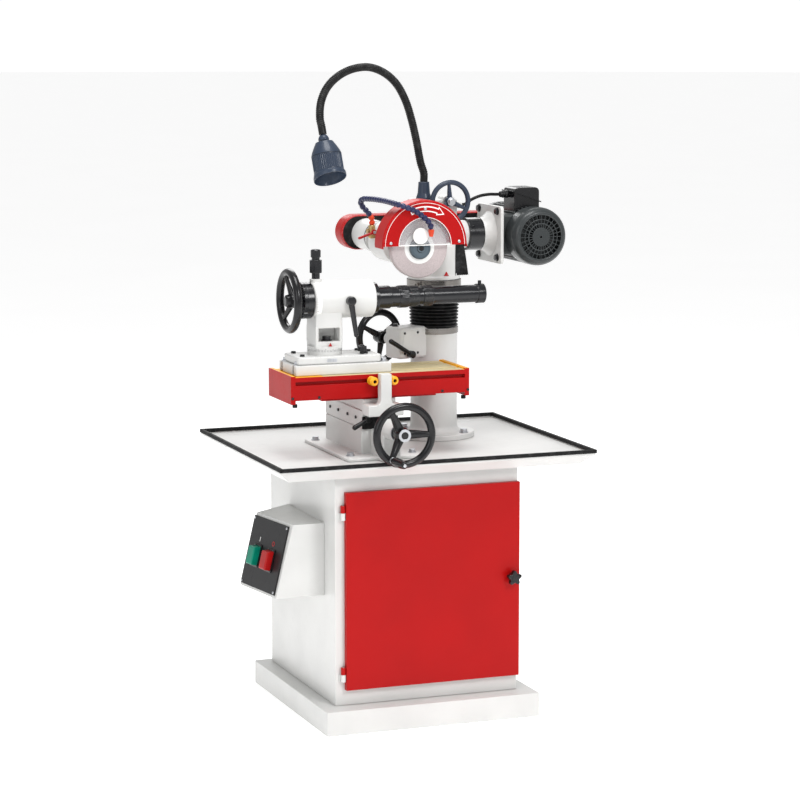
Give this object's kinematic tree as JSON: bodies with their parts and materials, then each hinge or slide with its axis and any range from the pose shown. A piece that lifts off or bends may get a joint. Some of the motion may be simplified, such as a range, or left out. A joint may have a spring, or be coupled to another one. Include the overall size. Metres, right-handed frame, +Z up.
{
  "type": "tool and cutter grinder",
  "caption": "Universal tool and cutter grinder on a steel cabinet with chip tray, lifting column, swivelling grinding head, cross slides, indexing workhead and lamp.",
  "frame": {"origin": "centre of the plinth's underside, on the floor", "axes": "+X to the operator's right, along the table; +Y away from the operator; +Z up"},
  "size_m": [0.887, 0.7858, 1.6124],
  "materials": {
    "white_paint": "satin powder coat",
    "red_paint": "glossy enamel",
    "slate_paint": "satin enamel",
    "motor_paint": "painted satin",
    "black_steel": "black oxide",
    "bright_steel": "turned",
    "black_plastic": "moulded",
    "black_rubber": "matte",
    "green_plastic": "moulded",
    "red_plastic": "moulded",
    "yellow_metal": "anodised",
    "white_casting": "painted satin",
    "red_casting": "painted gloss",
    "stone": "porous abrasive",
    "clear_plastic": "clear sheet",
    "brass": "nickel plated in part",
    "navy_plastic": "moulded links"
  },
  "bodies": {
    "frame": {"plinth": "white_paint", "cabinet": "white_paint", "door_hinge_lower": "white_paint", "door_hinge_upper": "white_paint", "switch_box": "white_paint", "switch_panel": "black_plastic", "chip_tray": "white_paint", "tray_edge_trim": "black_rubber", "slide_base": "white_casting", "column": "white_casting", "elevation_gearbox": "white_casting", "bellows": "black_rubber"},
    "door": {"cabinet_door": "red_paint"},
    "door_latch": {"door_knob": "black_plastic"},
    "start_key": {"start_button": "green_plastic"},
    "stop_key": {"stop_button": "red_plastic"},
    "cross_wheel": {"cross_handwheel": "black_plastic", "cross_feed_screw": "bright_steel"},
    "grip": {"cross_handwheel_grip": "black_plastic"},
    "saddle": {"cross_saddle": "white_casting"},
    "saddle_lever": {"saddle_clamp_lever": "black_plastic"},
    "slide_table": {"table": "red_casting", "attachment_base": "white_casting"},
    "dog_left": {"stop_dog_left": "yellow_metal"},
    "dog_right": {"stop_dog_right": "yellow_metal"},
    "workhead": {"attachment_housing": "white_casting"},
    "work_spindle": {"attachment_spindle": "black_steel", "index_plate": "black_steel", "attachment_handwheel": "black_plastic"},
    "plunger": {"index_plunger": "bright_steel"},
    "work_lever": {"attachment_clamp_lever": "black_steel"},
    "work_knob": {"attachment_clamp_knob": "black_plastic"},
    "column_lever": {"column_clamp_lever": "black_plastic"},
    "lift_wheel": {"elevation_handwheel": "black_plastic"},
    "lift_screw": {"elevation_screw": "bright_steel"},
    "lift": {"column_quill": "bright_steel", "upper_clamp_band": "bright_steel"},
    "head": {"head_casting": "white_casting", "spindle_housing": "white_casting", "belt_cover": "red_paint", "drive_belt": "black_rubber", "motor_bracket": "white_casting", "motor_body": "motor_paint", "motor_fan_cover": "motor_paint", "terminal_box": "black_plastic", "motor_cable": "black_rubber", "coolant_valve": "brass", "coolant_hose": "navy_plastic"},
    "spindle": {"spindle_shaft": "bright_steel", "grinding_wheel": "stone", "wheel_flange": "black_steel"},
    "rotor": {"motor_rotor": "bright_steel"},
    "guard": {"wheel_guard": "red_paint", "guard_window": "clear_plastic", "spark_flap": "black_rubber"},
    "valve_lever": {"coolant_valve_lever": "red_plastic"},
    "head_wheel": {"head_handwheel": "slate_paint"},
    "lamp": {"lamp_base": "slate_paint", "gooseneck": "black_rubber"},
    "lamp_head": {"lamp_shade": "slate_paint"}
  },
  "joints": [
    {"name": "door_hinge", "type": "hinge", "parent": "frame", "child": "door", "pos_m": [-0.222, -0.241, 0.34], "axis": [0, 0, -1], "range_deg": [0, 110]},
    {"name": "door_latch_turn", "type": "hinge", "parent": "door", "child": "door_latch", "pos_m": [0.219, -0.25, 0.352], "axis": [0, -1, 0], "range_deg": [0, 90]},
    {"name": "start_press", "type": "slide", "parent": "frame", "child": "start_key", "axis": [0.9586, 0.1475, -0.2436], "range_m": [0, 0.003], "stiffness_N_per_m": 600},
    {"name": "stop_press", "type": "slide", "parent": "frame", "child": "stop_key", "axis": [0.9586, 0.1475, -0.2436], "range_m": [0, 0.003], "stiffness_N_per_m": 600},
    {"name": "cross_wheel_turn", "type": "hinge", "parent": "frame", "child": "cross_wheel", "pos_m": [-0.089, -0.28, 0.733], "axis": [0, 1, 0], "range_deg": [-5400.01, 1350.01]},
    {"name": "grip_spin", "type": "hinge", "parent": "cross_wheel", "child": "grip", "pos_m": [-0.1222, -0.35, 0.6755], "axis": [0, 1, 0], "continuous": true},
    {"name": "cross_slide", "type": "slide", "parent": "frame", "child": "saddle", "axis": [0, 1, 0], "range_m": [-0.06, 0.015]},
    {"name": "saddle_clamp", "type": "hinge", "parent": "saddle", "child": "saddle_lever", "pos_m": [-0.124, -0.148, 0.75], "axis": [0, 1, 0], "range_deg": [-30, 30]},
    {"name": "table_slide", "type": "slide", "parent": "saddle", "child": "slide_table", "axis": [1, 0, 0], "range_m": [-0.1, 0.1]},
    {"name": "dog_left_slide", "type": "slide", "parent": "slide_table", "child": "dog_left", "axis": [1, 0, 0], "range_m": [-0.1, 0.1]},
    {"name": "dog_right_slide", "type": "slide", "parent": "slide_table", "child": "dog_right", "axis": [1, 0, 0], "range_m": [-0.1, 0.1]},
    {"name": "workhead_swivel", "type": "hinge", "parent": "slide_table", "child": "workhead", "pos_m": [-0.207, -0.067, 0.888], "axis": [0, 0, 1], "range_deg": [-90, 10]},
    {"name": "work_spindle_turn", "type": "hinge", "parent": "workhead", "child": "work_spindle", "pos_m": [-0.207, -0.067, 1.041], "axis": [1, 0, 0], "continuous": true},
    {"name": "index_pull", "type": "slide", "parent": "workhead", "child": "plunger", "axis": [0, 0, 1], "range_m": [0, 0.006], "stiffness_N_per_m": 500},
    {"name": "work_clamp", "type": "hinge", "parent": "workhead", "child": "work_lever", "pos_m": [-0.156, -0.12, 1.041], "axis": [0, 1, 0], "range_deg": [-60, 60]},
    {"name": "work_knob_turn", "type": "hinge", "parent": "workhead", "child": "work_knob", "pos_m": [-0.121, -0.101, 0.915], "axis": [0, 0, 1], "range_deg": [-90, 90]},
    {"name": "column_clamp", "type": "hinge", "parent": "frame", "child": "column_lever", "pos_m": [0.06898, 0.05499, 0.878], "axis": [-0.3007, 0.9537, 0], "range_deg": [-30, 30]},
    {"name": "lift_wheel_turn", "type": "hinge", "parent": "frame", "child": "lift_wheel", "pos_m": [0.03184, 0.1495, 0.912], "axis": [-0.3007, 0.9537, 0], "range_deg": [-4320, 6480]},
    {"name": "lift_screw_turn", "type": "hinge", "parent": "frame", "child": "lift_screw", "pos_m": [0.157, 0.125, 0.8], "axis": [0, 0, 1], "range_deg": [-4320, 6480]},
    {"name": "head_lift", "type": "slide", "parent": "frame", "child": "lift", "axis": [0, 0, 1], "range_m": [-0.06, 0.09], "deforming": ["bellows"]},
    {"name": "head_swivel", "type": "hinge", "parent": "lift", "child": "head", "pos_m": [0.157, 0.125, 1.0628], "axis": [0, 0, 1], "range_deg": [-90, 90]},
    {"name": "spindle_turn", "type": "hinge", "parent": "head", "child": "spindle", "pos_m": [0.058, 0, 1.156], "axis": [0, 1, 0], "continuous": true},
    {"name": "rotor_turn", "type": "hinge", "parent": "head", "child": "rotor", "pos_m": [0.414, 0, 1.168], "axis": [0, 1, 0], "continuous": true},
    {"name": "guard_turn", "type": "hinge", "parent": "head", "child": "guard", "pos_m": [0.058, 0, 1.156], "axis": [0, 1, 0], "range_deg": [-15, 15]},
    {"name": "valve_turn", "type": "hinge", "parent": "head", "child": "valve_lever", "pos_m": [0, 0.14, 1.184], "axis": [0, 1, 0], "range_deg": [0, 90]},
    {"name": "head_wheel_turn", "type": "hinge", "parent": "head", "child": "head_wheel", "pos_m": [0.187, 0.1, 1.261], "axis": [0, 1, 0], "range_deg": [-360, 360]},
    {"name": "lamp_swivel", "type": "hinge", "parent": "head", "child": "lamp", "pos_m": [0.129, 0.125, 1.2653], "axis": [0, 0, 1], "range_deg": [-90, 90]},
    {"name": "shade_tilt", "type": "hinge", "parent": "lamp", "child": "lamp_head", "pos_m": [-0.18249, 0.00314, 1.42834], "axis": [0, 1, 0], "range_deg": [-30, 30]}
  ],
  "couplings": [
    {"joint": "cross_wheel_turn", "follows": "cross_slide", "rad_per_m": 1570.8},
    {"joint": "dog_left_slide", "follows": "table_slide", "ratio": -1},
    {"joint": "dog_right_slide", "follows": "table_slide", "ratio": -1},
    {"joint": "head_lift", "follows": "lift_wheel_turn", "m_per_rad": 0.00079577},
    {"joint": "lift_screw_turn", "follows": "lift_wheel_turn", "ratio": 1},
    {"joint": "rotor_turn", "follows": "spindle_turn", "ratio": 0.73174}
  ]
}
